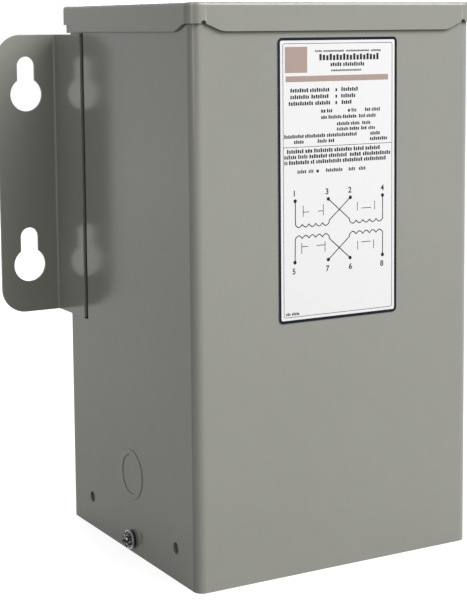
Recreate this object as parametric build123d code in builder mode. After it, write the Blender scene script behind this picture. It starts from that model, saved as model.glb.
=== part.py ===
"""Encapsulated buck boost transformer in a wall-mounted sheet steel case.

Millimetres, +Z up, +Y towards the wall that the transformer hangs on.
The origin lies on the floor plane, at the middle of the outline seen from above.
"""

import os

from build123d import *

# Overall size
overall_height = 305.0
case_width = 173.0
case_depth = 158.0
wall_standoff = 20.5
case_sheet = 1.5
case_corner_radius = 5.0

# Top cap
cap_sheet = 1.5
cap_fit = 0.2
cap_skirt_depth = 15.0
cap_corner_skirt_depth = 11.0
cap_rise_run = 15.0
cap_rise_end = 6.0
cap_edge_radius = 2.2
cap_rear_corner_radius = 2.0
cap_relief_diameter = 3.0
cap_relief_inset = 7.6

# Back tray, whose side flanges lie inside the side walls
tray_flange = 17.0
tray_bend_radius = 1.0

# Mounting brackets, each flush in a notch at the rear of a side wall
bracket_height = 165.0
bracket_skirt_gap = 1.5
bracket_flange_overlap = 18.5
bracket_bend_radius = 1.2
bracket_corner_radius = 14.5
bracket_flange_corner_radius = 1.0
ear_width = 36.0
notch_slit = 5.1
notch_top_gap = 0.9

# Keyholes in the ears
keyhole_round = 19.8
keyhole_slot = 11.0
keyhole_rise = 16.9
keyhole_spacing = 101.6
keyhole_low_rise = 28.2
keyhole_edge = 17.6

# Bottom cover
cover_sheet = 1.5
cover_flange = 28.0
cover_fit = 0.3
cover_bend_radius = 1.5
cover_screw_height = 7.6
side_hole = 6.3
side_hole_height = 17.8
side_hole_spacing = 107.8

# Concentric conduit knockouts, one in each side wall
knockout_outer = 28.2
knockout_inner = 22.2
knockout_height = 44.7
knockout_step = 0.8
knockout_ring_gap = 0.05
knockout_disc_gap = 0.15

# Cover screws with their black washers
screw_shank = 4.8
screw_hole_fit = 0.25
screw_length = 9.0
screw_flange = 10.6
screw_flange_thickness = 1.0
screw_hex = 7.2
screw_head_height = 2.6
screw_head_chamfer = 0.5
screw_slot_width = 1.2
screw_slot_depth = 1.1
washer_diameter = 10.0
washer_thickness = 1.6

# Rating label on the front wall
label_width = 74.5
label_height = 149.4
label_thickness = 0.3
label_corner_radius = 2.5
label_skirt_gap = 3.5

# Potted core and coil block above the wiring compartment
wiring_space = 76.0

# Places that follow from the sizes above
cap_overhang = cap_sheet + cap_fit
overall_depth = cap_overhang + case_depth + wall_standoff
case_middle = -overall_depth / 2 + cap_overhang + case_depth / 2
front_face = case_middle - case_depth / 2
rear_face = case_middle + case_depth / 2
wall_face = overall_depth / 2
side_face = case_width / 2
cap_underside = overall_height - cap_sheet
case_top = overall_height - cap_edge_radius
skirt_edge = overall_height - cap_skirt_depth
bracket_bottom = skirt_edge - bracket_skirt_gap - bracket_height
bracket_front = rear_face - bracket_flange_overlap
notch_front = bracket_front - notch_slit
ear_tip = side_face + ear_width
keyhole_x = ear_tip - keyhole_edge
keyhole_low_height = bracket_bottom + keyhole_low_rise
screw_hole = screw_shank + 2 * screw_hole_fit
sides = (("left", -1), ("right", 1))

os.makedirs("parts", exist_ok=True)


def save(node, name):
    """Label a finished piece and write it as its own file."""
    node.part.label = name
    export_step(node.part, f"parts/{name}.step")


# Case wrap: the front wall and both side walls, folded from one sheet
with BuildPart() as case_wrap:
    with BuildSketch():
        wall_line = side_face - case_sheet / 2
        front_line = front_face + case_sheet / 2
        with BuildLine():
            FilletPolyline(
                (-wall_line, rear_face),
                (-wall_line, front_line),
                (wall_line, front_line),
                (wall_line, rear_face),
                radius=case_corner_radius - case_sheet / 2,
            )
        trace(line_width=case_sheet)
    extrude(amount=case_top)

    # Rear notch in each side wall, a little larger than the bracket flange
    with BuildSketch(Plane.YZ):
        notch_depth = rear_face - notch_front
        notch_height = bracket_height + notch_top_gap
        with Locations((notch_front, bracket_bottom)):
            Rectangle(notch_depth, notch_height, align=(Align.MIN, Align.MIN))
    extrude(amount=side_face, both=True, mode=Mode.SUBTRACT)

    # Knockout opening, cover screw hole and the two small holes of each side wall
    with BuildSketch(Plane.YZ):
        with Locations((case_middle, knockout_height)):
            Circle(knockout_outer / 2)
        with Locations((case_middle, cover_screw_height)):
            Circle(screw_hole / 2)
        with Locations((case_middle, side_hole_height)):
            with GridLocations(side_hole_spacing, 0, 2, 1):
                Circle(side_hole / 2)
    extrude(amount=side_face, both=True, mode=Mode.SUBTRACT)
save(case_wrap, "case_wrap")


# Back panel: a shallow tray between the side walls, its flanges welded inside them
with BuildPart() as back_panel:
    with BuildSketch():
        flange_line = side_face - case_sheet * 1.5
        panel_line = rear_face - case_sheet / 2
        with BuildLine():
            FilletPolyline(
                (-flange_line, rear_face - tray_flange),
                (-flange_line, panel_line),
                (flange_line, panel_line),
                (flange_line, rear_face - tray_flange),
                radius=tray_bend_radius + case_sheet / 2,
            )
        trace(line_width=case_sheet)
    extrude(amount=case_top)
save(back_panel, "back_panel")


# Mounting brackets: a flange flush with the side wall, bent out into an ear
for name, side in sides:
    with BuildPart() as bracket:
        with BuildSketch(Plane.XY.offset(bracket_bottom)):
            flange_x = side * (side_face - case_sheet / 2)
            ear_line = wall_face - case_sheet / 2
            with BuildLine():
                FilletPolyline(
                    (flange_x, bracket_front),
                    (flange_x, ear_line),
                    (side * ear_tip, ear_line),
                    radius=bracket_bend_radius + case_sheet / 2,
                )
            trace(line_width=case_sheet)
        extrude(amount=bracket_height)
        ear_tip_face = bracket.faces().filter_by(Axis.X).sort_by(Axis.X)[0 if side < 0 else -1]
        fillet(ear_tip_face.edges().filter_by(Axis.Y), bracket_corner_radius)
        flange_face = bracket.faces().filter_by(Axis.Y).sort_by(Axis.Y)[0]
        fillet(flange_face.edges().filter_by(Axis.X), bracket_flange_corner_radius)

        # Keyholes: a round for the screw head, and a slot above it to hang in
        with BuildSketch(Plane.XZ.offset(-wall_face)):
            with Locations((side * keyhole_x, keyhole_low_height)):
                with Locations((0, 0), (0, keyhole_spacing)):
                    Circle(keyhole_round / 2)
                    Rectangle(keyhole_slot, keyhole_rise, align=(Align.CENTER, Align.MIN))
                with Locations((0, keyhole_rise), (0, keyhole_rise + keyhole_spacing)):
                    Circle(keyhole_slot / 2)
        extrude(amount=case_sheet, mode=Mode.SUBTRACT)
    save(bracket, f"{name}_bracket")


# Top cap: a pan over the case, whose skirt rises in a curve towards each corner
with BuildPart() as top_cap:
    cap_width = case_width + 2 * cap_overhang
    cap_depth = case_depth + 2 * cap_overhang
    front_radius = case_corner_radius + cap_overhang
    with BuildSketch(Plane.XY.offset(skirt_edge)):
        with Locations((0, case_middle)):
            Rectangle(cap_width, cap_depth)
    extrude(amount=cap_skirt_depth)
    upright_edges = top_cap.edges().filter_by(Axis.Z)
    fillet(upright_edges.group_by(Axis.Y)[0], front_radius)
    fillet(top_cap.edges().filter_by(Axis.Z).group_by(Axis.Y)[-1], cap_rear_corner_radius)
    fillet(top_cap.faces().sort_by(Axis.Z)[-1].edges(), cap_edge_radius)
    offset(amount=-cap_sheet, openings=top_cap.faces().sort_by(Axis.Z)[0])

    # Each skirt's lower edge rises in a curve at both ends
    rise = cap_skirt_depth - cap_corner_skirt_depth
    for turn, reach, half in (
        (0, cap_depth / 2, cap_width / 2),
        (90, cap_width / 2, cap_depth / 2),
        (180, cap_depth / 2, cap_width / 2),
        (270, cap_width / 2, cap_depth / 2),
    ):
        middle = Plane((0, case_middle, skirt_edge)).rotated((90, turn, 0))
        with BuildSketch(middle.offset(reach)):
            with BuildLine():
                start = (half - cap_rise_end - cap_rise_run, 0)
                finish = (half - cap_rise_end, rise)
                Spline(start, finish, tangents=((1, 0), (1, 0)))
                Polyline(finish, (half, rise), (half, 0), start)
            make_face()
            mirror(about=Plane.YZ)
        extrude(amount=-cap_rise_end, mode=Mode.SUBTRACT)

    # Round relief at the foot of the crease near each front corner
    with BuildSketch(Plane.XZ.offset(-front_face)):
        with Locations((0, skirt_edge + rise)):
            with GridLocations(cap_width - 2 * cap_relief_inset, 0, 2, 1):
                Circle(cap_relief_diameter / 2)
    extrude(amount=2 * cap_overhang, mode=Mode.SUBTRACT)
save(top_cap, "top_cap")


# Bottom cover: a plate between the walls, with a screwed flange up each side
with BuildPart() as bottom_cover:
    cover_outer = side_face - case_sheet - cover_fit
    cover_front = front_face + case_corner_radius
    cover_rear = rear_face - tray_flange - cover_fit
    with BuildSketch(Plane.XZ.offset(-cover_rear)):
        flange_middle = cover_outer - cover_sheet / 2
        with BuildLine():
            FilletPolyline(
                (-flange_middle, cover_flange),
                (-flange_middle, cover_sheet / 2),
                (flange_middle, cover_sheet / 2),
                (flange_middle, cover_flange),
                radius=cover_bend_radius + cover_sheet / 2,
            )
        trace(line_width=cover_sheet)
    extrude(amount=cover_rear - cover_front)

    # The plate runs on into the round corners at the front, and back between the tray flanges
    front_reach = case_corner_radius - case_sheet - cover_fit
    rear_reach = tray_flange - case_sheet
    lip_corner = tray_bend_radius + cover_fit
    with BuildSketch():
        with Locations((0, cover_front - front_reach)):
            RectangleRounded(
                2 * cover_outer,
                3 * front_reach,
                front_reach,
                align=(Align.CENTER, Align.MIN),
            )
        with Locations((0, cover_front)):
            Rectangle(
                2 * cover_outer,
                2 * front_reach,
                align=(Align.CENTER, Align.MIN),
                mode=Mode.SUBTRACT,
            )
        with Locations((0, cover_rear)):
            Rectangle(
                2 * (side_face - 2 * case_sheet - cover_fit - lip_corner),
                rear_reach,
                align=(Align.CENTER, Align.MIN),
            )
    extrude(amount=cover_sheet)

    # The thread of the cover screw in each flange
    with BuildSketch(Plane.YZ):
        with Locations((case_middle, cover_screw_height)):
            Circle(screw_shank / 2)
    extrude(amount=side_face, both=True, mode=Mode.SUBTRACT)
save(bottom_cover, "bottom_cover")


# Conduit knockouts: a ring pushed inwards, around a disc flush with the wall
for name, side in sides:
    wall_plane = Plane((side * side_face, case_middle, knockout_height), x_dir=(0, 1, 0), z_dir=(side, 0, 0))
    with BuildPart() as knockout_ring:
        with BuildSketch(wall_plane.offset(-knockout_step)):
            Circle(knockout_outer / 2 - knockout_ring_gap)
            Circle(knockout_inner / 2, mode=Mode.SUBTRACT)
        extrude(amount=-case_sheet)
    save(knockout_ring, f"{name}_knockout_ring")

    with BuildPart() as knockout_disc:
        with BuildSketch(wall_plane):
            Circle(knockout_inner / 2 - knockout_disc_gap)
        extrude(amount=-case_sheet)
    save(knockout_disc, f"{name}_knockout_disc")


# Cover screws: a slotted hex head with a flange, seated on a black washer
for name, side in sides:
    screw_seat = Plane(
        (side * (side_face + washer_thickness), case_middle, cover_screw_height),
        x_dir=(0, 1, 0),
        z_dir=(side, 0, 0),
    )
    with BuildPart() as screw_washer:
        with BuildSketch(screw_seat):
            Circle(washer_diameter / 2)
            Circle(screw_hole / 2, mode=Mode.SUBTRACT)
        extrude(amount=-washer_thickness)
    save(screw_washer, f"{name}_screw_washer")

    with BuildPart() as cover_screw:
        with BuildSketch(screw_seat):
            Circle(screw_flange / 2)
        extrude(amount=screw_flange_thickness)
        with BuildSketch(screw_seat.offset(screw_flange_thickness)):
            RegularPolygon(screw_hex / 2, 6, major_radius=False)
        extrude(amount=screw_head_height)
        head_face = cover_screw.faces().filter_by(Axis.X).sort_by(Axis.X)[0 if side < 0 else -1]
        chamfer(head_face.edges(), screw_head_chamfer)
        head_top = screw_seat.offset(screw_flange_thickness + screw_head_height)
        with BuildSketch(head_top):
            Rectangle(screw_hex * 2, screw_slot_width)
        extrude(amount=-screw_slot_depth, mode=Mode.SUBTRACT)
        with BuildSketch(screw_seat):
            Circle(screw_shank / 2)
        extrude(amount=-screw_length)
    save(cover_screw, f"{name}_cover_screw")


# Rating label, stuck to the front wall just under the cap
with BuildPart() as rating_label:
    label_middle = skirt_edge - label_skirt_gap - label_height / 2
    with BuildSketch(Plane.XZ.offset(-front_face)):
        with Locations((0, label_middle)):
            RectangleRounded(label_width, label_height, label_corner_radius)
    extrude(amount=label_thickness)
save(rating_label, "rating_label")


# Potted core: windings and iron set in dark resin, filling the upper case
with BuildPart() as potted_core:
    core_width = case_width - 4 * case_sheet
    core_depth = case_depth - 2 * case_sheet
    with BuildSketch(Plane.XY.offset(wiring_space)):
        with Locations((0, case_middle)):
            RectangleRounded(core_width, core_depth, case_corner_radius - case_sheet)
    extrude(amount=cap_underside - wiring_space)
save(potted_core, "potted_core")
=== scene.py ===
"""Looks of the encapsulated buck boost transformer: paint, printed label, screws and stage."""

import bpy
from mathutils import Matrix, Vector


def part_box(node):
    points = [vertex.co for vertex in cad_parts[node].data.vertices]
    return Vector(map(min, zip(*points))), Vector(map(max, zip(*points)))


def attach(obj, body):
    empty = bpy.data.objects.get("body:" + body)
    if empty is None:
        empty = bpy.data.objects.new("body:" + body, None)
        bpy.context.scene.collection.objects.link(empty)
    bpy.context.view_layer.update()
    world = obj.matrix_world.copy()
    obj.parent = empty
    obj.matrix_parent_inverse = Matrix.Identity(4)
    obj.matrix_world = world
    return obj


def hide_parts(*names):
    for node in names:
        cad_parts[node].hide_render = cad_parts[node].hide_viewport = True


bl_info = {
    "name": "Buck Boost Transformer",
    "version": (1, 0, 0),
    "blender": (4, 5, 0),
    "location": "View3D > Sidebar > Transformer",
    "description": "Finishes a wall-hung encapsulated transformer around its packed frame",
    "category": "Object",
}

import math

import bmesh
import bpy
from mathutils import Matrix, Vector

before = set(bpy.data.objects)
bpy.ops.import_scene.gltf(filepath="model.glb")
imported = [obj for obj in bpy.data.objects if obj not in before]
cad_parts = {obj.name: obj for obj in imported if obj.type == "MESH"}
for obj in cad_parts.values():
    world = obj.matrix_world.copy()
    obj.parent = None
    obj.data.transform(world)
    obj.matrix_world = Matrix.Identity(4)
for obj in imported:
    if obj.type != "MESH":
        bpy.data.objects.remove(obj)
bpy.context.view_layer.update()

MM = 0.001
BODY = "root"
PHOTO_WIDTH = 467
PHOTO_HEIGHT = 600
SENSOR = 36.0

label_low, label_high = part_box("rating_label")
wall_low, wall_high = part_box("case_wrap")
cap_low, cap_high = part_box("top_cap")
bracket_low, bracket_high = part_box("left_bracket")

# Width of each kind of patch in the powder coat, and the height of its bumps
CLOUD = 90 * MM
MOTTLE = 12 * MM
FLECK = 2.2 * MM
SPECK = 1.1 * MM
PEEL_HEIGHT = 0.01 * MM
SWELL_HEIGHT = 0.12 * MM

# Radius of the front bends, and the lines of painted shade and painted highlight down them: the middle of
# each and half its width, in bend radii
CASE_BEND = 5.0 * MM
CAP_BEND = 6.7 * MM
NEAR_EDGE = (0.96, 0.3)
GLINT_LINE = (0.32, 0.12)
FAR_EDGE = (0.58, 0.28)

# Where these lines fade out, inwards along the front and backwards along the side, in bend radii
SIDE_REACH = (0.3, 0.6)
FRONT_REACH = (0.4, 0.6)

# Heights between which the painted highlight line and the painted shade of the far edge come in
GLINT_END = 215 * MM
GLINT_FULL = 285 * MM

# How much each line of painted shade darkens the coat, or each painted highlight brightens it
CASE_BEND_SHADE = 0.32
CAP_BEND_SHADE = 0.3
FAR_EDGE_SHARE = 0.4
GLINT_SHARE = 1.6
SKIRT_SHADOW_SHADE = 0.6
PINCH_HIGHLIGHT = 0.25
EDGE_HIGHLIGHT_SHINE = 0.28
BRACKET_PAINTED_LIGHT = 0.05

# Painted shadow line under the cap's skirt, and the skirt's rise at its corners
SKIRT_SHADOW_START = 0.2 * MM
SKIRT_SHADOW_WIDTH = 0.9 * MM
CAP_RISE_START = 21 * MM
CAP_RISE_END = 6 * MM
CAP_RISE = 4 * MM

# Pinch in the skirt beside each front corner, bumped into the coat and brightened as a painted highlight
PINCH_INSET = 8.6 * MM
PINCH_WIDTH = 1.0 * MM
PINCH_DEPTH = 1.0 * MM
PINCH_FOOT = 5 * MM
PINCH_TOP = 2 * MM
PINCH_LEAST = 0.25

# Width of the painted highlight along the cut edges of the bracket's flange
EDGE_HIGHLIGHT_WIDTH = 0.7 * MM

# Cover screw: its rim, brightened as a painted highlight, its patches and scratches, and its two tones
RIM_START = 4.5 * MM
RIM_FULL = 4.8 * MM
ZINC_PATCH = 1.1 * MM
ZINC_SCRATCH = 0.5 * MM
SCRATCH_DEPTH = 0.03 * MM
SMOKED_ZINC = (0.028, 0.036, 0.034)
WORN_AND_HIGHLIT_ZINC = (0.60, 0.64, 0.62)

# Washer
WORN_SPOT = 1.2 * MM
WASHER_BLACK = (0.010, 0.010, 0.011)
WASHER_WORN = (0.045, 0.045, 0.045)

# Potting resin and the sand in it; the resin is near black, partly as painted shade where it shows in the
# slits
SAND_GRAIN = 0.9 * MM
SAND_HEIGHT = 0.1 * MM
RESIN_AND_SHADE_DARK = (0.004, 0.004, 0.004)
RESIN_SAND = (0.012, 0.011, 0.010)

# Label film and its ink
FILM_HAZE = 30 * MM
FILM_TOOTH = 0.5 * MM
TOOTH_HEIGHT = 0.005 * MM
INK_PINHOLE = 0.6 * MM
INK_CLOUD = 4 * MM
INK_SHEEN = 2 * MM

# Knockout ring
RING_PROUD = 0.4 * MM
RING_ROUND = 0.15 * MM
RING_ROUND_STEPS = 3
RING_GAP = 0.15 * MM
RING_SIDES = 72
SMOOTH_UP_TO = math.radians(40)

# Numbers on the label: share of the type size that a numeral fills, how far it is thickened, and its weld
NUMERAL_SHARE = 0.7
NUMERAL_BOLD = 0.08 * MM
WELD = 0.0001 * MM

# Least share of a line's width that a sharp turn may leave
MITRE_LIMIT = 0.4

# Softboxes: where each hangs, how wide and high it is, and the point that they face
LIT_POINT = (0.0, 0.0, 0.15)
KEY_PLACE = (1.0, -1.7, 1.9)
KEY_SIZE = (2.0, 1.5)
REAR_PLACE = (0.9, 1.8, 1.7)
REAR_SIZE = (1.6, 1.4)
REAR_SHARE = 0.55

# Floor: its paper, the glow that lifts it to the white of the room, and the painted shade that dims the
# glow near the object in a gloss
FLOOR_SIDES = 96
FLOOR_GRAIN = 20 * MM
FLOOR_PAPER = (0.28, 0.28, 0.28)
FLOOR_GLOW = 0.88
SHADED_GLOSS_NEAR = 0.57
GLOSS_SHADE_START = 0.5
GLOSS_SHADE_END = 2.6


class PaintSettings(bpy.types.PropertyGroup):
    """Grey powder coat on all the sheet steel."""

    colour: bpy.props.FloatVectorProperty(
        name="Paint colour", description="Warm grey of the powder coat",
        subtype="COLOR", size=3, min=0.0, max=1.0, default=(0.275, 0.277, 0.243),
    )
    roughness: bpy.props.FloatProperty(
        name="Roughness", description="Sheen of the coat, from gloss to matt",
        subtype="FACTOR", min=0.0, max=1.0, default=0.16,
    )
    orange_peel: bpy.props.FloatProperty(
        name="Orange peel size", description="Width of one ripple in the cured coat",
        unit="LENGTH", subtype="DISTANCE", min=0.0002, default=0.0016,
    )
    edge_round: bpy.props.FloatProperty(
        name="Edge round", description="How far the coat rounds a cut sheet edge",
        unit="LENGTH", subtype="DISTANCE", min=0.0, default=0.0003,
    )


class LabelSettings(bpy.types.PropertyGroup):
    """Printed film on the front wall."""

    film: bpy.props.FloatVectorProperty(
        name="Film colour", description="White of the label film",
        subtype="COLOR", size=3, min=0.0, max=1.0, default=(0.77, 0.77, 0.775),
    )
    border_ink: bpy.props.FloatVectorProperty(
        name="Border ink", description="Blue-black ink of the broad border",
        subtype="COLOR", size=3, min=0.0, max=1.0, default=(0.008, 0.009, 0.018),
    )
    text_ink: bpy.props.FloatVectorProperty(
        name="Text ink", description="Black ink of the bars and the diagram",
        subtype="COLOR", size=3, min=0.0, max=1.0, default=(0.02, 0.02, 0.022),
    )
    tan_ink: bpy.props.FloatVectorProperty(
        name="Tan ink", description="Muted ink of the colour bar and block",
        subtype="COLOR", size=3, min=0.0, max=1.0, default=(0.39, 0.30, 0.26),
    )
    border: bpy.props.FloatProperty(
        name="Border width", description="Width of the dark border",
        unit="LENGTH", subtype="DISTANCE", min=0.0, default=0.0015,
    )
    ink_height: bpy.props.FloatProperty(
        name="Ink height", description="Thickness of the printed ink",
        unit="LENGTH", subtype="DISTANCE", min=0.000005, default=0.00004,
    )


class StageSettings(bpy.types.PropertyGroup):
    """Floor, lights and camera."""

    floor_radius: bpy.props.FloatProperty(
        name="Floor radius", description="Radius of the pale floor",
        unit="LENGTH", subtype="DISTANCE", min=0.5, default=6.0,
    )
    ambient: bpy.props.FloatProperty(
        name="Ambient", description="Level of the white room light",
        subtype="FACTOR", min=0.0, default=0.42,
    )
    key_power: bpy.props.FloatProperty(
        name="Key power", description="Power of the softbox in front on the right",
        unit="POWER", min=0.0, default=86.0,
    )
    camera_place: bpy.props.FloatVectorProperty(
        name="Camera place", description="Where the camera stands",
        subtype="TRANSLATION", unit="LENGTH", size=3, default=(-0.45074, -0.78551, 0.29227),
    )
    camera_azimuth: bpy.props.FloatProperty(
        name="Camera azimuth", description="Turn of the camera about the vertical",
        subtype="ANGLE", default=math.radians(-29.836),
    )
    camera_elevation: bpy.props.FloatProperty(
        name="Camera elevation", description="How far the camera looks down",
        subtype="ANGLE", default=math.radians(6.297),
    )
    camera_roll: bpy.props.FloatProperty(
        name="Camera roll", description="Tilt of the camera about its own line of sight",
        subtype="ANGLE", default=math.radians(-0.428),
    )
    focal_pixels: bpy.props.FloatProperty(
        name="Focal length in pixels", description="Focal length in pixels of the photograph",
        min=100.0, default=1571.4,
    )
    centre_column: bpy.props.FloatProperty(
        name="Centre column", description="Pixel column that the lens axis meets", default=255.2,
    )
    centre_row: bpy.props.FloatProperty(
        name="Centre row", description="Pixel row that the lens axis meets", default=200.0,
    )


class Field:
    """One output socket of a shader node, which reads as a number, colour or vector in an expression."""

    def __init__(self, shader, socket):
        self.shader = shader
        self.socket = socket

    def _operate(self, operation, first, second):
        plain = all(
            value.socket.type == "VALUE" if isinstance(value, Field) else not isinstance(value, tuple)
            for value in (first, second)
        )
        if plain:
            return self.shader.node("ShaderNodeMath", {"operation": operation}, {0: first, 1: second})
        if isinstance(first, (int, float)):
            first = (first,) * 3
        if isinstance(second, (int, float)):
            second = (second,) * 3
        return self.shader.node("ShaderNodeVectorMath", {"operation": operation}, {0: first, 1: second})

    def __add__(self, other):
        return self._operate("ADD", self, other)

    def __radd__(self, other):
        return self._operate("ADD", other, self)

    def __sub__(self, other):
        return self._operate("SUBTRACT", self, other)

    def __rsub__(self, other):
        return self._operate("SUBTRACT", other, self)

    def __mul__(self, other):
        return self._operate("MULTIPLY", self, other)

    def __rmul__(self, other):
        return self._operate("MULTIPLY", other, self)

    def __abs__(self):
        return self.shader.node("ShaderNodeMath", {"operation": "ABSOLUTE"}, {0: self})

    def larger(self, other):
        """The larger of this and another value."""
        return self._operate("MAXIMUM", self, other)

    def mix(self, low, high):
        """A colour between low, where this field is 0, and high, where it is 1."""
        return self.shader.node(
            "ShaderNodeMix", {"data_type": "RGBA"}, {0: self, 6: low, 7: high}, output=2,
        )

    def band(self, middle, half_width):
        """1 at the middle, and 0 further than half_width from it."""
        return 1.0 - abs(self - middle).ease(0.0, half_width)

    def ease(self, low, high):
        """0 below low, 1 above high and a smooth step between."""
        return self.shader.node(
            "ShaderNodeMapRange", {"interpolation_type": "SMOOTHSTEP"},
            {"Value": self, "From Min": low, "From Max": high},
        )


class Shader:
    """The node tree of one material or of the world."""

    def __init__(self, tree):
        self.tree = tree
        self.tree.nodes.clear()

    def node(self, kind, settings=None, sockets=None, output=0):
        """Add a node, apply its settings, fill its sockets and give back one of its outputs."""
        made = self.tree.nodes.new(kind)
        for name, value in (settings or {}).items():
            setattr(made, name, value)
        for name, value in (sockets or {}).items():
            socket = made.inputs[name]
            if isinstance(value, Field):
                self.tree.links.new(value.socket, socket)
            elif socket.type == "RGBA" and len(value) == 3:
                socket.default_value = (*value, 1.0)
            else:
                socket.default_value = value
        return Field(self, made.outputs[output] if made.outputs else None)

    def place(self):
        """The point being shaded, in metres."""
        return self.node("ShaderNodeTexCoord", output="Object")

    def axis(self, name):
        """One coordinate of the point being shaded."""
        return self.node("ShaderNodeSeparateXYZ", None, {0: self.place()}, output=name)

    def reach(self, centre):
        """How far the point stands from an axis through centre that runs left to right."""
        offset = (self.place() - tuple(centre)) * (0.0, 1.0, 1.0)
        return self.node("ShaderNodeVectorMath", {"operation": "LENGTH"}, {0: offset}, output="Value")

    def noise(self, size, detail=2.0, offset=0.0, stretch=(1.0, 1.0, 1.0)):
        """Soft noise from 0 to 1, whose lumps are about size metres wide."""
        shifted = self.place() * tuple(axis / size for axis in stretch) + (offset, offset, offset)
        return self.node(
            "ShaderNodeTexNoise", None, {"Vector": shifted, "Scale": 1.0, "Detail": detail},
        )


def new_material(name):
    """An empty node material and its shader."""
    material = bpy.data.materials.new(name)
    material.use_nodes = True
    return material, Shader(material.node_tree)


def finish_surface(shader, sockets):
    """The principled surface and the material output."""
    surface = shader.node("ShaderNodeBsdfPrincipled", None, sockets)
    shader.node("ShaderNodeOutputMaterial", None, {"Surface": surface})


def powder_coat(name, paint, offset, shade=None, swell=None):
    """Grey powder coat with orange peel, faint clouds and specks.

    offset moves its patches, shade gives how much painted shade darkens the tone at a point (painted
    highlight where it is negative), and swell how far the coat stands up there.
    """
    material, shader = new_material(name)
    clouds = shader.noise(CLOUD, 2.0, offset)
    mottle = shader.noise(MOTTLE, 3.0, offset + 3.0)
    flecks = shader.noise(FLECK, 3.0, offset + 5.0)
    specks = shader.noise(SPECK, 1.0, offset + 7.0).ease(0.70, 0.80)
    peel = shader.noise(paint.orange_peel, 2.0, offset + 11.0)
    grain = shader.noise(paint.orange_peel * 0.3, 1.0, offset + 17.0)
    tone = 0.915 + clouds * 0.06 + mottle * 0.05 + flecks * 0.07 - specks * 0.03
    if shade:
        # Painted shade and highlight from the shade function
        tone = tone * (1.0 - shade(shader))
    rounded = shader.node("ShaderNodeBevel", {"samples": 4}, {"Radius": paint.edge_round})
    if swell:
        rounded = shader.node("ShaderNodeBump", None, {
            "Strength": 1.0, "Distance": SWELL_HEIGHT, "Height": swell(shader), "Normal": rounded,
        })
    skin = shader.node("ShaderNodeBump", None, {
        "Strength": 1.0, "Distance": PEEL_HEIGHT, "Height": peel + grain * 0.25, "Normal": rounded,
    })
    finish_surface(shader, {
        "Base Color": tuple(paint.colour) * tone,
        "Roughness": paint.roughness - 0.04 + clouds * 0.05 + mottle * 0.03,
        "Specular IOR Level": 0.42,
        "Normal": skin,
    })
    return material


def bend_painted_light(shader, low, high, radius):
    """Painted shade down both edges of each front bend, and near the top a painted highlight line between
    them.
    """
    behind = (shader.axis("Y") - low.y) * (1.0 / radius)
    inward = (high.x - abs(shader.axis("X"))) * (1.0 / radius)
    corner = 1.0 - inward.ease(*SIDE_REACH)
    # Painted shade along the bend's edges, and a painted highlight down its middle
    near_edge = behind.band(*NEAR_EDGE) * corner
    glint_line = behind.band(*GLINT_LINE) * corner
    far_edge = inward.band(*FAR_EDGE) * (1.0 - behind.ease(*FRONT_REACH))
    upper = shader.axis("Z").ease(GLINT_END, GLINT_FULL)
    return near_edge + (far_edge * FAR_EDGE_SHARE - glint_line * GLINT_SHARE) * upper


def case_shade(shader):
    """The painted shade and highlight of the bend lines, and a painted shadow line under the edge of the
    cap, which rises at the corners.
    """
    along_front = abs(shader.axis("X")).ease(cap_high.x - CAP_RISE_START, cap_high.x - CAP_RISE_END)
    from_middle = abs(shader.axis("Y") - (cap_low.y + cap_high.y) / 2)
    reach = (cap_high.y - cap_low.y) / 2
    along_side = from_middle.ease(reach - CAP_RISE_START, reach - CAP_RISE_END)
    edge = cap_low.z + along_front * along_side * CAP_RISE
    # Painted shadow under the edge of the cap's skirt
    skirt_shadow = 1.0 - (edge - shader.axis("Z")).ease(SKIRT_SHADOW_START, SKIRT_SHADOW_WIDTH)
    return skirt_shadow * SKIRT_SHADOW_SHADE + bend_painted_light(shader, wall_low, wall_high, CASE_BEND) * CASE_BEND_SHADE


def cap_shade(shader):
    """The painted shade and highlight of the cap's bend lines, and a painted highlight on the pinch beside
    each of its front corners.
    """
    bend = bend_painted_light(shader, cap_low, cap_high, CAP_BEND)
    # Painted highlight on the pinch
    return bend * CAP_BEND_SHADE - cap_pinch(shader) * PINCH_HIGHLIGHT


def cap_pinch(shader):
    """The pinch in the front skirt beside each corner, which widens downwards."""
    lower = 1.0 - shader.axis("Z").ease(cap_low.z + PINCH_FOOT, cap_high.z - PINCH_TOP)
    depth = PINCH_LEAST + lower * (1.0 - PINCH_LEAST)
    front = 1.0 - (shader.axis("Y") - cap_low.y).ease(PINCH_DEPTH, 2 * PINCH_DEPTH)
    return abs(shader.axis("X")).band(cap_high.x - PINCH_INSET, PINCH_WIDTH) * depth * front


def bracket_painted_light(shader):
    """The bracket's coat, painted a little lighter than the case's to stand in for light, and a painted
    highlight along the cut edges of its flange.
    """
    front = 1.0 - shader.axis("Y").ease(bracket_low.y, bracket_low.y + EDGE_HIGHLIGHT_WIDTH)
    top = shader.axis("Z").ease(bracket_high.z - EDGE_HIGHLIGHT_WIDTH, bracket_high.z)
    # Painted highlight along the flange's edges, and painted light over the whole bracket
    return front.larger(top) * -EDGE_HIGHLIGHT_SHINE - BRACKET_PAINTED_LIGHT


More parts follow.
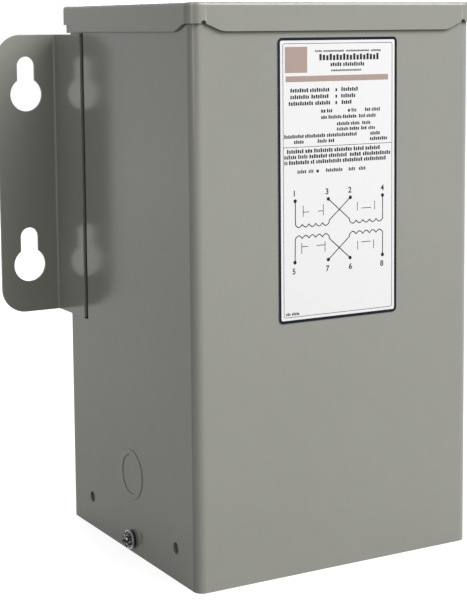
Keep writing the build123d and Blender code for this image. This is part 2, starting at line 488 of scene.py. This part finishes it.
def zinc_plate(name, head):
    """Smoked zinc: dark and patchy over the head, and painted bright along the rim of its flange as a
    highlight.
    """
    material, shader = new_material(name)
    patches = shader.noise(ZINC_PATCH, 2.0)
    scratches = shader.noise(ZINC_SCRATCH, 2.0, 5.0, (1.0, 0.4, 2.0))
    # Worn patches at random, and the rim brightened as a painted highlight
    worn_and_highlit = patches.ease(0.52, 0.66).larger(shader.reach(head).ease(RIM_START, RIM_FULL))
    finish_surface(shader, {
        "Base Color": worn_and_highlit.mix(SMOKED_ZINC, WORN_AND_HIGHLIT_ZINC),
        "Metallic": 1.0,
        "Roughness": 0.22 + patches * 0.12 + scratches * 0.08,
        "Normal": shader.node(
            "ShaderNodeBump", None, {"Strength": 0.6, "Distance": SCRATCH_DEPTH, "Height": scratches},
        ),
    })
    return material


def blackened_steel(name):
    """Matt black washers, with a little bare metal on the high spots."""
    material, shader = new_material(name)
    worn = shader.noise(WORN_SPOT, 3.0, 2.0).ease(0.62, 0.78)
    finish_surface(shader, {
        "Base Color": worn.mix(WASHER_BLACK, WASHER_WORN),
        "Roughness": 0.42 - worn * 0.1,
    })
    return material


def cast_resin(name):
    """Dark potting resin with sand in it, made near black partly as painted shade for the slits where it
    shows.
    """
    material, shader = new_material(name)
    sand = shader.noise(SAND_GRAIN, 3.0, 4.0)
    finish_surface(shader, {
        "Base Color": sand.mix(RESIN_AND_SHADE_DARK, RESIN_SAND),
        "Roughness": 0.55 + sand * 0.2,
        "Specular IOR Level": 0.1,
        "Normal": shader.node(
            "ShaderNodeBump", None, {"Strength": 0.5, "Distance": SAND_HEIGHT, "Height": sand},
        ),
    })
    return material


def label_film(name, colour):
    """Satin film: almost even white with a faint tooth."""
    material, shader = new_material(name)
    haze = shader.noise(FILM_HAZE, 2.0)
    tooth = shader.noise(FILM_TOOTH, 2.0, 9.0)
    finish_surface(shader, {
        "Base Color": colour * (0.985 + haze * 0.02),
        "Roughness": 0.38 + tooth * 0.08,
        "Normal": shader.node(
            "ShaderNodeBump", None, {"Strength": 0.3, "Distance": TOOTH_HEIGHT, "Height": tooth},
        ),
    })
    return material


def printing_ink(name, colour):
    """Screen-printed ink: faint pinholes and an uneven sheen."""
    material, shader = new_material(name)
    pinholes = shader.noise(INK_PINHOLE, 2.0, 1.0).ease(0.72, 0.85)
    finish_surface(shader, {
        "Base Color": colour * (0.97 + shader.noise(INK_CLOUD, 2.0) * 0.08) + pinholes * 0.03,
        "Roughness": 0.44 + shader.noise(INK_SHEEN, 2.0, 6.0) * 0.14,
        "Specular IOR Level": 0.12,
    })
    return material


class Print:
    """A layer of ink on the label, drawn in millimetres right and down from its top left corner."""

    def __init__(self, ink_height):
        self.mesh = bmesh.new()
        self.front = label_low.y - ink_height
        self.back = label_low.y

    def _point(self, right, down, depth):
        return self.mesh.verts.new((label_low.x + right * MM, depth, label_high.z - down * MM))

    def strip(self, pairs, closed=False):
        """A closed band of ink between two edges, given as pairs of points across it."""
        rings = []
        for left, right in pairs:
            rings.append([
                self._point(*left, self.front), self._point(*right, self.front),
                self._point(*right, self.back), self._point(*left, self.back),
            ])
        joins = list(zip(rings, rings[1:]))
        if closed:
            joins.append((rings[-1], rings[0]))
        for near, far in joins:
            for side in range(4):
                after = (side + 1) % 4
                self.mesh.faces.new((near[side], near[after], far[after], far[side]))
        if not closed:
            self.mesh.faces.new(rings[0])
            self.mesh.faces.new(list(reversed(rings[-1])))

    def bar(self, left, top, right, bottom):
        """A filled rectangle."""
        self.strip([((left, bottom), (left, top)), ((right, bottom), (right, top))])

    def stroke(self, points, width):
        """A line of even width through the points."""
        pairs = []
        for index, (x, y) in enumerate(points):
            before = Vector(points[max(index - 1, 0)])
            here = Vector((x, y))
            after = Vector(points[min(index + 1, len(points) - 1)])
            ahead = (after - here).normalized() if index < len(points) - 1 else None
            behind = (here - before).normalized() if index else ahead
            ahead = ahead or behind
            along = (ahead + behind).normalized()
            across = Vector((-along.y, along.x)) * (width / 2 / max(along.dot(ahead), MITRE_LIMIT))
            pairs.append(((x - across.x, y - across.y), (x + across.x, y + across.y)))
        self.strip(pairs)

    def dot(self, x, y, radius, sides=24):
        """A filled round."""
        turn = 2 * math.pi / sides
        rim = [(x + radius * math.cos(k * turn), y + radius * math.sin(k * turn)) for k in range(sides)]
        front = [self._point(*p, self.front) for p in rim]
        back = [self._point(*p, self.back) for p in rim]
        self.mesh.faces.new(front)
        self.mesh.faces.new(list(reversed(back)))
        for k in range(sides):
            after = (k + 1) % sides
            self.mesh.faces.new((front[k], back[k], back[after], front[after]))

    def number(self, text, x, y, height):
        """A plain number, its middle at x and y."""
        curve = bpy.data.curves.new("number", "FONT")
        curve.body = text
        curve.align_x = "CENTER"
        curve.size = height * MM / NUMERAL_SHARE
        curve.extrude = (self.back - self.front) / 2
        curve.offset = NUMERAL_BOLD
        shape = bpy.data.objects.new("number", curve)
        bpy.context.scene.collection.objects.link(shape)
        shape_now = shape.evaluated_get(bpy.context.evaluated_depsgraph_get())
        solid = bpy.data.meshes.new_from_object(shape_now)
        foot = Vector((
            label_low.x + x * MM, (self.front + self.back) / 2, label_high.z - (y + height / 2) * MM,
        ))
        solid.transform(Matrix.Translation(foot) @ Matrix.Rotation(math.pi / 2, 4, "X"))
        self.mesh.from_mesh(solid)
        bpy.data.objects.remove(shape)
        bpy.data.meshes.remove(solid)
        bmesh.ops.remove_doubles(self.mesh, verts=self.mesh.verts, dist=WELD)

    def frame(self, left, top, right, bottom, width, radius, steps=6):
        """A rectangular outline with round corners, drawn inwards from its outer edge."""
        def rim(inset):
            reach = max(radius - inset, 0.01)
            corners = (
                (right - inset - reach, top + inset + reach, -90),
                (right - inset - reach, bottom - inset - reach, 0),
                (left + inset + reach, bottom - inset - reach, 90),
                (left + inset + reach, top + inset + reach, 180),
            )
            for x, y, start in corners:
                for step in range(steps + 1):
                    angle = math.radians(start + 90 * step / steps)
                    yield (x + reach * math.cos(angle), y + reach * math.sin(angle))
        self.strip(list(zip(rim(0.0), rim(width))), closed=True)

    def finish(self, name, material):
        """Turn the layer into a piece that rides on the case."""
        bmesh.ops.recalc_face_normals(self.mesh, faces=self.mesh.faces)
        data = bpy.data.meshes.new(name)
        self.mesh.to_mesh(data)
        self.mesh.free()
        piece = bpy.data.objects.new(name, data)
        bpy.context.scene.collection.objects.link(piece)
        data.materials.append(material)
        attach(piece, BODY)


def paint_nodes(material, *names):
    """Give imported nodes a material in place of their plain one."""
    for name in names:
        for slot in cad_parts[name].material_slots:
            slot.material = material


class TRANSFORMER_OT_paint_sheet_steel(bpy.types.Operator):
    """Powder coat the case, the cap, the brackets, the cover and the knockouts"""

    bl_idname = "transformer.paint_sheet_steel"
    bl_label = "Paint Sheet Steel"

    def execute(self, context):
        paint = context.scene.transformer_paint
        paint_nodes(powder_coat("case_powder_coat", paint, 0.0, case_shade), "case_wrap")
        paint_nodes(
            powder_coat("panel_powder_coat", paint, 0.0),
            "back_panel", "bottom_cover", "left_knockout_disc", "right_knockout_disc",
        )
        paint_nodes(powder_coat("cap_powder_coat", paint, 20.0, cap_shade, cap_pinch), "top_cap")
        paint_nodes(
            powder_coat("bracket_powder_coat", paint, 40.0, bracket_painted_light), "left_bracket", "right_bracket",
        )
        return {"FINISHED"}


class TRANSFORMER_OT_press_knockouts(bpy.types.Operator):
    """Press the ring of each conduit knockout a little proud of the wall"""

    bl_idname = "transformer.press_knockouts"
    bl_label = "Press Knockouts"

    def execute(self, context):
        coat = powder_coat("knockout_powder_coat", context.scene.transformer_paint, 0.0)
        for side, outward in (("left", -1), ("right", 1)):
            self.press_ring(side, outward, coat)
        return {"FINISHED"}

    def press_ring(self, side, outward, coat):
        """Turn the ring's rounded section about the middle of the knockout."""
        low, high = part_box(f"{side}_knockout_ring")
        disc_low, disc_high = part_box(f"{side}_knockout_disc")
        middle = (low + high) / 2
        outer = (high.z - low.z) / 2
        inner = (disc_high.z - disc_low.z) / 2 + RING_GAP
        face = (disc_high.x if outward > 0 else disc_low.x) + outward * RING_PROUD
        depth = RING_PROUD + (high.x - low.x)
        section = []
        for centre, start in ((outer - RING_ROUND, 0), (inner + RING_ROUND, 90)):
            for step in range(RING_ROUND_STEPS + 1):
                angle = math.radians(start + 90 * step / RING_ROUND_STEPS)
                section.append((
                    centre + RING_ROUND * math.cos(angle),
                    face - outward * (RING_ROUND - RING_ROUND * math.sin(angle)),
                ))
        section += [(inner, face - outward * depth), (outer, face - outward * depth)]
        mesh = bmesh.new()
        rings = []
        for turn in range(RING_SIDES):
            angle = 2 * math.pi * turn / RING_SIDES
            across = math.cos(angle)
            upward = math.sin(angle)
            rings.append([
                mesh.verts.new((x, middle.y + radius * across, middle.z + radius * upward))
                for radius, x in section
            ])
        for turn, ring in enumerate(rings):
            after = rings[(turn + 1) % RING_SIDES]
            for place in range(len(section)):
                beyond = (place + 1) % len(section)
                mesh.faces.new((ring[place], ring[beyond], after[beyond], after[place]))
        bmesh.ops.recalc_face_normals(mesh, faces=mesh.faces)
        data = bpy.data.meshes.new(f"{side}_pressed_ring")
        mesh.to_mesh(data)
        mesh.free()
        data.shade_smooth()
        data.set_sharp_from_angle(angle=SMOOTH_UP_TO)
        ring = bpy.data.objects.new(f"{side}_pressed_ring", data)
        bpy.context.scene.collection.objects.link(ring)
        data.materials.append(coat)
        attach(ring, BODY)
        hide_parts(f"{side}_knockout_ring")


class TRANSFORMER_OT_finish_fasteners(bpy.types.Operator):
    """Plate the cover screws and blacken their washers"""

    bl_idname = "transformer.finish_fasteners"
    bl_label = "Finish Fasteners"

    def execute(self, context):
        screw_low, screw_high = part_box("left_cover_screw")
        plate = zinc_plate("smoked_zinc", (screw_low + screw_high) / 2)
        paint_nodes(plate, "left_cover_screw", "right_cover_screw")
        paint_nodes(blackened_steel("blackened_steel"), "left_screw_washer", "right_screw_washer")
        return {"FINISHED"}


class TRANSFORMER_OT_finish_core(bpy.types.Operator):
    """Give the potted core its dark resin"""

    bl_idname = "transformer.finish_core"
    bl_label = "Finish Core"

    def execute(self, context):
        paint_nodes(cast_resin("cast_resin"), "potted_core")
        return {"FINISHED"}


# Print on the label, in millimetres right and down from its top left corner
BORDER_RADIUS = 2.5
FRAME_INSET = 3.0
FRAME_LINE = 0.25
FRAME_RADIUS = 1.2
BLOCK = (4.4, 4.8, 17.9, 18.2)
TAN_BAR = (4.8, 19.9, 68.8, 22.9)
RULE = (3.2, 56.7, 71.4, 56.95)

# Each row of greeked words: its middle, its letter height, and where each word starts and ends
HEADING_ROWS = (
    (7.1, 1.0, ((22.7, 27.0), (28.0, 40.6), (42.0, 56.5), (57.8, 64.0))),
    (10.3, 3.3, ((25.4, 62.6),)),
    (14.1, 2.1, ((32.3, 39.0), (40.2, 53.4))),
    (17.3, 1.0, ((32.7, 51.6),)),
)
TEXT_ROWS = (
    (27.3, 2.1, ((7.6, 18.4), (19.6, 31.4), (35.3, 36.3), (39.0, 49.3))),
    (30.7, 2.1, ((7.6, 18.9), (20.4, 30.9), (35.3, 36.3), (38.9, 47.7))),
    (34.1, 2.1, ((6.6, 21.3), (22.8, 31.9), (35.3, 36.3), (39.2, 45.3))),
    (38.4, 1.9, ((26.4, 29.0), (30.0, 33.2), (43.2, 44.4), (45.4, 48.4), (54.0, 57.2), (58.3, 63.5))),
    (41.7, 1.9, ((26.4, 29.9), (30.9, 39.0), (40.0, 48.4), (50.1, 54.0), (55.0, 60.7))),
    (45.4, 1.8, ((36.2, 44.0), (45.0, 50.4), (52.2, 57.4))),
    (48.2, 1.8, ((36.2, 43.3), (44.2, 50.1), (51.5, 54.9), (56.2, 60.3))),
    (51.2, 1.9, ((3.8, 15.5), (16.5, 28.7), (30.0, 48.6), (57.4, 63.4))),
    (54.1, 1.9, ((9.7, 15.5), (24.2, 29.7), (31.0, 34.4), (57.2, 68.1))),
    (59.0, 2.1, ((5.4, 15.4), (16.6, 20.8), (22.0, 33.4), (34.6, 45.5), (46.7, 53.1), (54.3, 63.4))),
    (61.9, 2.1, ((3.8, 10.9), (12.1, 17.9), (19.1, 29.9), (31.1, 42.3), (44.4, 51.2), (52.6, 70.2))),
    (64.8, 2.1, ((3.8, 5.6), (6.6, 18.7), (19.9, 22.0), (23.2, 38.7), (39.9, 52.1), (53.3, 67.3))),
    (69.7, 1.9, ((11.7, 16.9), (18.6, 21.4), (23.4, 24.8), (29.4, 39.5), (43.6, 47.5), (50.1, 54.1))),
    (144.6, 1.5, ((4.4, 6.9), (7.9, 12.4))),
)
LETTER_WIDTH = 0.42
LETTER_GAP = 0.22
LETTER_TALLNESS = (1.0, 0.78, 0.92, 0.78, 1.0, 0.86, 0.78)


def greek(ink, rows):
    """Rows of small blocks where words would stand, their width and spacing set by their height."""
    count = 0
    for middle, height, words in rows:
        gap = height * LETTER_GAP
        for start, end in words:
            letters = max(1, round((end - start + gap) / (height * (LETTER_WIDTH + LETTER_GAP))))
            pitch = (end - start + gap) / letters
            for letter in range(letters):
                left = start + letter * pitch
                tall = height * LETTER_TALLNESS[count % len(LETTER_TALLNESS)]
                foot = middle + height / 2
                ink.bar(left, foot - tall, left + pitch - gap, foot)
                count += 1


class TRANSFORMER_OT_print_label(bpy.types.Operator):
    """Print the label film: border, frame line, colour bar and greeked words"""

    bl_idname = "transformer.print_label"
    bl_label = "Print Label"

    def execute(self, context):
        settings = context.scene.transformer_label
        width = (label_high.x - label_low.x) / MM
        height = (label_high.z - label_low.z) / MM
        paint_nodes(label_film("label_film", tuple(settings.film)), "rating_label")

        border = Print(settings.ink_height)
        border.frame(0.0, 0.0, width, height, settings.border / MM, BORDER_RADIUS)
        border.finish("label_border", printing_ink("border_ink", tuple(settings.border_ink)))

        colour = Print(settings.ink_height)
        colour.bar(*TAN_BAR)
        colour.bar(*BLOCK)
        colour.finish("label_colour_bar", printing_ink("tan_ink", tuple(settings.tan_ink)))

        text = Print(settings.ink_height)
        text.frame(
            FRAME_INSET, FRAME_INSET, width - FRAME_INSET, height - FRAME_INSET, FRAME_LINE, FRAME_RADIUS,
        )
        text.bar(*RULE)
        greek(text, HEADING_ROWS)
        greek(text, TEXT_ROWS)
        text.finish("label_words", printing_ink("text_ink", tuple(settings.text_ink)))
        return {"FINISHED"}


# Wiring diagram, in the same millimetres
LINE = 0.5
SMALL_LINE = 0.35
NUMBER_HEIGHT = 3.0
NUMBERS = (
    ("1", 9.7, 80.9), ("3", 29.9, 80.9), ("2", 44.3, 80.9), ("4", 65.2, 80.9),
    ("5", 9.3, 122.0), ("7", 30.1, 122.0), ("6", 44.6, 122.0), ("8", 64.9, 122.0),
)
DOTS = (
    (10.2, 85.0), (30.7, 85.0), (44.6, 85.0), (65.3, 85.0),
    (9.9, 117.4), (30.6, 117.4), (44.4, 117.4), (65.3, 117.4),
)
DOT_RADIUS = 1.0
# Each coil: its two ends, its height on the label, and its turns hang down (1) or stand up (-1)
COILS = (
    (10.3, 31.2, 97.5, 1), (44.0, 65.4, 97.5, 1),
    (10.3, 31.2, 104.9, -1), (44.0, 65.4, 104.9, -1),
)
COIL_TURNS = 5
COIL_STEPS = 8
COIL_DEPTH = 1.5
LEADS = (
    ((10.3, 85.0), (10.3, 97.6)),
    ((31.2, 97.6), (31.2, 96.4), (44.6, 85.0)),
    ((44.0, 97.6), (44.0, 96.4), (30.7, 85.0)),
    ((65.4, 85.0), (65.4, 97.6)),
    ((10.2, 104.8), (10.0, 117.4)),
    ((31.2, 104.8), (31.2, 106.0), (44.4, 117.4)),
    ((44.0, 104.8), (44.0, 106.0), (30.6, 117.4)),
    ((65.4, 104.8), (65.4, 117.4)),
)
SMALL_LEADS = (
    ((15.1, 87.5), (15.1, 93.5)), ((27.6, 87.5), (27.6, 93.5)),
    ((15.1, 91.1), (18.8, 91.1)), ((24.1, 91.1), (27.6, 91.1)),
    ((49.1, 87.7), (49.1, 92.4)), ((60.2, 87.7), (60.2, 92.4)),
    ((51.7, 91.2), (57.9, 91.2)),
    ((14.1, 107.4), (14.1, 113.0)), ((28.6, 107.4), (28.6, 113.0)),
    ((14.1, 109.3), (18.0, 109.3)), ((23.4, 109.3), (28.6, 109.3)),
    ((49.3, 108.8), (49.3, 113.5)), ((59.6, 108.8), (59.6, 113.5)),
    ((51.6, 109.5), (57.6, 109.5)),
)


class TRANSFORMER_OT_draw_wiring_diagram(bpy.types.Operator):
    """Draw the two pairs of windings, their leads and their numbered ends"""

    bl_idname = "transformer.draw_wiring_diagram"
    bl_label = "Draw Wiring Diagram"

    def execute(self, context):
        settings = context.scene.transformer_label
        diagram = Print(settings.ink_height)
        for start, end, height, side in COILS:
            turn = (end - start) / COIL_TURNS
            line = []
            for step in range(COIL_TURNS * COIL_STEPS + 1):
                swing = abs(math.sin(math.pi * step / COIL_STEPS))
                line.append((start + turn * step / COIL_STEPS, height + side * COIL_DEPTH * swing))
            diagram.stroke(line, LINE)
        for lead in LEADS:
            diagram.stroke(lead, LINE)
        for lead in SMALL_LEADS:
            diagram.stroke(lead, SMALL_LINE)
        for x, y in DOTS:
            diagram.dot(x, y, DOT_RADIUS)
        for text, x, y in NUMBERS:
            diagram.number(text, x, y, NUMBER_HEIGHT)
        diagram.finish("wiring_diagram", printing_ink("diagram_ink", tuple(settings.text_ink)))
        return {"FINISHED"}


def aim(back, roll=0.0):
    """A rotation whose own Z points along back, with its X level but for the roll."""
    right = Vector((-back.y, back.x, 0.0)).normalized()
    up = back.cross(right)
    across = right * math.cos(roll) + up * math.sin(roll)
    return Matrix((across, back.cross(across), back)).transposed().to_4x4()


def softbox(name, place, target, size, power):
    """A rectangular lamp that faces the target, unseen by the camera."""
    data = bpy.data.lights.new(name, "AREA")
    data.shape = "RECTANGLE"
    data.size, data.size_y = size
    data.energy = power
    lamp = bpy.data.objects.new(name, data)
    bpy.context.scene.collection.objects.link(lamp)
    lamp.visible_camera = False
    place = Vector(place)
    lamp.matrix_world = Matrix.Translation(place) @ aim((place - Vector(target)).normalized())


class TRANSFORMER_OT_set_stage(bpy.types.Operator):
    """Lay the floor, hang the lights and place the camera"""

    bl_idname = "transformer.set_stage"
    bl_label = "Set Stage"

    def execute(self, context):
        stage = context.scene.transformer_stage
        self.place_camera(context, stage)
        self.light_room(context, stage)
        self.lay_floor(context, stage)
        return {"FINISHED"}

    def place_camera(self, context, stage):
        """The photograph's own view."""
        azimuth = stage.camera_azimuth
        elevation = stage.camera_elevation
        back = Vector((
            math.sin(azimuth) * math.cos(elevation),
            -math.cos(azimuth) * math.cos(elevation),
            math.sin(elevation),
        ))
        data = bpy.data.cameras.new("camera")
        data.sensor_width = SENSOR
        data.lens = stage.focal_pixels * SENSOR / PHOTO_HEIGHT
        data.shift_x = (PHOTO_WIDTH / 2 - stage.centre_column) / PHOTO_HEIGHT
        data.shift_y = (stage.centre_row - PHOTO_HEIGHT / 2) / PHOTO_HEIGHT
        data.clip_start = 0.05
        camera = bpy.data.objects.new("camera", data)
        context.scene.collection.objects.link(camera)
        camera.matrix_world = Matrix.Translation(stage.camera_place) @ aim(back, stage.camera_roll)
        context.scene.camera = camera

    def light_room(self, context, stage):
        """A white room that the camera and the gloss see in full, and softboxes in front and behind."""
        world = bpy.data.worlds.new("white_room")
        world.use_nodes = True
        context.scene.world = world
        shader = Shader(world.node_tree)
        seen = seen_directly(shader)
        room = shader.node("ShaderNodeBackground", None, {
            "Color": seen.mix((stage.ambient,) * 3, (1.0, 1.0, 1.0)),
        })
        shader.node("ShaderNodeOutputWorld", None, {"Surface": room})
        softbox("key_softbox", KEY_PLACE, LIT_POINT, KEY_SIZE, stage.key_power)
        softbox("rear_softbox", REAR_PLACE, LIT_POINT, REAR_SIZE, stage.key_power * REAR_SHARE)

    def lay_floor(self, context, stage):
        """A pale round floor that keeps the shadow and runs out into the white of the room, with a painted
        shade near the object that only a gloss sees.
        """
        mesh = bmesh.new()
        bmesh.ops.create_circle(mesh, cap_ends=True, segments=FLOOR_SIDES, radius=stage.floor_radius)
        data = bpy.data.meshes.new("floor")
        mesh.to_mesh(data)
        mesh.free()
        floor = bpy.data.objects.new("floor", data)
        context.scene.collection.objects.link(floor)
        material, shader = new_material("floor_paper")
        away = shader.node(
            "ShaderNodeVectorMath", {"operation": "LENGTH"}, {0: shader.place()}, output="Value",
        )
        # Painted shade: a gloss sees the floor's glow dimmed near the object
        gloss = away.ease(GLOSS_SHADE_START, GLOSS_SHADE_END) * (1.0 - SHADED_GLOSS_NEAR) + SHADED_GLOSS_NEAR
        seen = seen_directly(shader, gloss)
        grain = shader.noise(FLOOR_GRAIN, 3.0)
        paper = shader.node("ShaderNodeBsdfPrincipled", None, {
            "Base Color": FLOOR_PAPER * (0.98 + grain * 0.04),
            "Roughness": 1.0,
            "Specular IOR Level": 0.0,
        })
        glow = shader.node(
            "ShaderNodeEmission", None, {"Color": (1.0, 1.0, 1.0), "Strength": FLOOR_GLOW},
        )
        lifted = shader.node("ShaderNodeAddShader", None, {0: paper, 1: glow})
        surface = shader.node("ShaderNodeMixShader", None, {0: seen, 1: paper, 2: lifted})
        shader.node("ShaderNodeOutputMaterial", None, {"Surface": surface})
        data.materials.append(material)


def seen_directly(shader, gloss=1.0):
    """1 for what the camera or a glass sees, gloss for what a gloss sees, 0 for what lights the object."""
    camera = shader.node("ShaderNodeLightPath", output="Is Camera Ray")
    glossy = shader.node("ShaderNodeLightPath", output="Is Glossy Ray")
    through = shader.node("ShaderNodeLightPath", output="Is Transmission Ray")
    return camera.larger(glossy * gloss).larger(through)


OPERATORS = (
    TRANSFORMER_OT_set_stage,
    TRANSFORMER_OT_paint_sheet_steel,
    TRANSFORMER_OT_press_knockouts,
    TRANSFORMER_OT_finish_fasteners,
    TRANSFORMER_OT_finish_core,
    TRANSFORMER_OT_print_label,
    TRANSFORMER_OT_draw_wiring_diagram,
)


class TRANSFORMER_PT_pieces(bpy.types.Panel):
    """Steps that finish the transformer"""

    bl_idname = "TRANSFORMER_PT_pieces"
    bl_label = "Transformer"
    bl_space_type = "VIEW_3D"
    bl_region_type = "UI"
    bl_category = "Transformer"

    def draw(self, context):
        for operator in OPERATORS:
            self.layout.operator(operator.bl_idname)


SETTINGS = {
    "transformer_paint": PaintSettings,
    "transformer_label": LabelSettings,
    "transformer_stage": StageSettings,
}


def register():
    for group in SETTINGS.values():
        bpy.utils.register_class(group)
    for name, group in SETTINGS.items():
        setattr(bpy.types.Scene, name, bpy.props.PointerProperty(type=group))
    for item in (*OPERATORS, TRANSFORMER_PT_pieces):
        bpy.utils.register_class(item)


def unregister():
    for item in (TRANSFORMER_PT_pieces, *reversed(OPERATORS)):
        bpy.utils.unregister_class(item)
    for name, group in SETTINGS.items():
        delattr(bpy.types.Scene, name)
        bpy.utils.unregister_class(group)


def main():
    register()
    bpy.context.scene.view_settings.view_transform = "Standard"
    bpy.ops.transformer.set_stage()
    bpy.ops.transformer.paint_sheet_steel()
    bpy.ops.transformer.press_knockouts()
    bpy.ops.transformer.finish_fasteners()
    bpy.ops.transformer.finish_core()
    bpy.ops.transformer.print_label()
    bpy.ops.transformer.draw_wiring_diagram()


if __name__ == "__main__":
    main()
